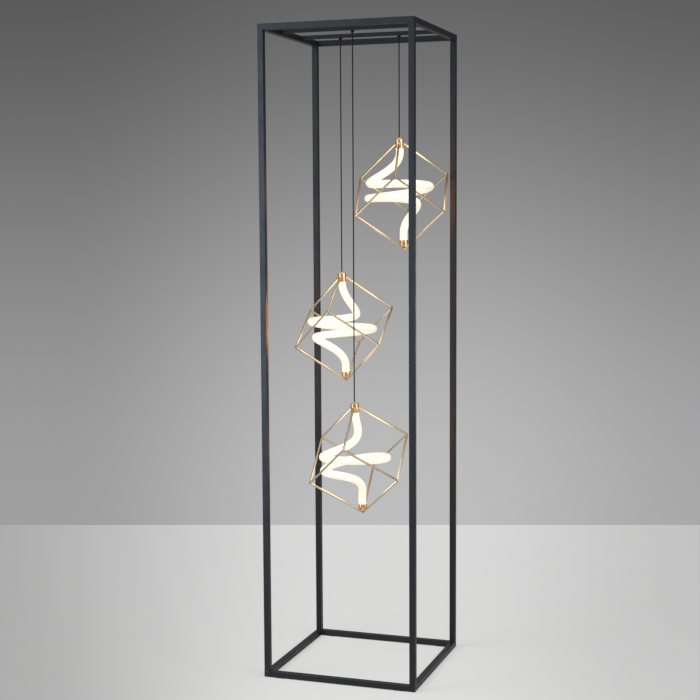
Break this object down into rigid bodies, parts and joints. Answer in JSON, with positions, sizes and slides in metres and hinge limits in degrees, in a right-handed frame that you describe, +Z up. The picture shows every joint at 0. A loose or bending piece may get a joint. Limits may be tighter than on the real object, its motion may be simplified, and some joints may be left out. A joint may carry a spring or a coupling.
{
  "type": "floor lamp",
  "caption": "Tall open square-tube frame floor lamp with wire cubes hung inside on thin cords, each cube holding a twisted glowing light tube.",
  "frame": {"origin": "on the floor, under the middle of the square frame", "axes": "+Z up, +X to the right along the front, +Y to the back"},
  "size_m": [0.4138, 0.4185, 1.64],
  "materials": {
    "frame_coat": "matt",
    "bare_steel": "satin",
    "black_steel": "satin",
    "felt": "matt",
    "black_plastic": "matt",
    "cord_jacket": "matt",
    "gold_metal": "polished",
    "light_tube": "satin",
    "led_strip": "satin"
  },
  "bodies": {
    "frame": {"bottom_corner_blocks": "bare_steel", "bottom_corner_bolts": "black_steel", "bottom_rail_back": "frame_coat", "bottom_rail_front": "frame_coat", "bottom_rail_left": "frame_coat", "bottom_rail_right": "frame_coat", "cross_bar_back": "frame_coat", "cross_bar_front": "frame_coat", "feed_wire": "cord_jacket", "felt_pads": "felt", "grip_lock_screws": "black_steel", "grip_nuts": "black_plastic", "lower_cord_grip": "black_plastic", "lower_cord_tail": "cord_jacket", "middle_cord_grip": "black_plastic", "middle_cord_tail": "cord_jacket", "post_back_left": "frame_coat", "post_back_right": "frame_coat", "post_foot_plugs": "bare_steel", "post_front_left": "frame_coat", "post_front_right": "frame_coat", "post_head_plugs": "bare_steel", "power_inlet": "black_plastic", "top_corner_blocks": "bare_steel", "top_corner_bolts": "black_steel", "top_rail_back": "frame_coat", "top_rail_front": "frame_coat", "top_rail_left": "frame_coat", "top_rail_right": "frame_coat", "upper_cord_grip": "black_plastic", "upper_cord_tail": "cord_jacket", "wire_splice": "black_plastic"},
    "upper_neck": {"upper_cord_neck": "cord_jacket"},
    "upper_line": {"upper_cord": "cord_jacket"},
    "upper_pendant": {"upper_bottom_cap": "gold_metal", "upper_collar_nut": "gold_metal", "upper_cube_frame": "gold_metal", "upper_led_strip": "led_strip", "upper_light_tube": "light_tube", "upper_strip_lead": "cord_jacket", "upper_top_cap": "gold_metal"},
    "middle_neck": {"middle_cord_neck": "cord_jacket"},
    "middle_line": {"middle_cord": "cord_jacket"},
    "middle_pendant": {"middle_bottom_cap": "gold_metal", "middle_collar_nut": "gold_metal", "middle_cube_frame": "gold_metal", "middle_led_strip": "led_strip", "middle_light_tube": "light_tube", "middle_strip_lead": "cord_jacket", "middle_top_cap": "gold_metal"},
    "lower_neck": {"lower_cord_neck": "cord_jacket"},
    "lower_line": {"lower_cord": "cord_jacket"},
    "lower_pendant": {"lower_bottom_cap": "gold_metal", "lower_collar_nut": "gold_metal", "lower_cube_frame": "gold_metal", "lower_led_strip": "led_strip", "lower_light_tube": "light_tube", "lower_strip_lead": "cord_jacket", "lower_top_cap": "gold_metal"}
  },
  "joints": [
    {"name": "upper_swing_front_back", "type": "hinge", "parent": "frame", "child": "upper_neck", "pos_m": [0.08, 0.0725, 1.623], "axis": [1, 0, 0], "range_deg": [-2, 2]},
    {"name": "upper_swing_sideways", "type": "hinge", "parent": "upper_neck", "child": "upper_line", "pos_m": [0.08, 0.0725, 1.623], "axis": [0, 1, 0], "range_deg": [-2, 2]},
    {"name": "upper_turn", "type": "hinge", "parent": "upper_line", "child": "upper_pendant", "pos_m": [0.08, 0.0725, 1.623], "axis": [0, 0, 1], "range_deg": [-180, 180]},
    {"name": "middle_swing_front_back", "type": "hinge", "parent": "frame", "child": "middle_neck", "pos_m": [-0.079, 0.0725, 1.623], "axis": [1, 0, 0], "range_deg": [-1.25, 1.25]},
    {"name": "middle_swing_sideways", "type": "hinge", "parent": "middle_neck", "child": "middle_line", "pos_m": [-0.079, 0.0725, 1.623], "axis": [0, 1, 0], "range_deg": [-1.25, 1.25]},
    {"name": "middle_turn", "type": "hinge", "parent": "middle_line", "child": "middle_pendant", "pos_m": [-0.079, 0.0725, 1.623], "axis": [0, 0, 1], "range_deg": [-180, 180]},
    {"name": "lower_swing_front_back", "type": "hinge", "parent": "frame", "child": "lower_neck", "pos_m": [0.003, -0.0725, 1.623], "axis": [1, 0, 0], "range_deg": [-2, 2]},
    {"name": "lower_swing_sideways", "type": "hinge", "parent": "lower_neck", "child": "lower_line", "pos_m": [0.003, -0.0725, 1.623], "axis": [0, 1, 0], "range_deg": [-2, 2]},
    {"name": "lower_turn", "type": "hinge", "parent": "lower_line", "child": "lower_pendant", "pos_m": [0.003, -0.0725, 1.623], "axis": [0, 0, 1], "range_deg": [-180, 180]}
  ]
}
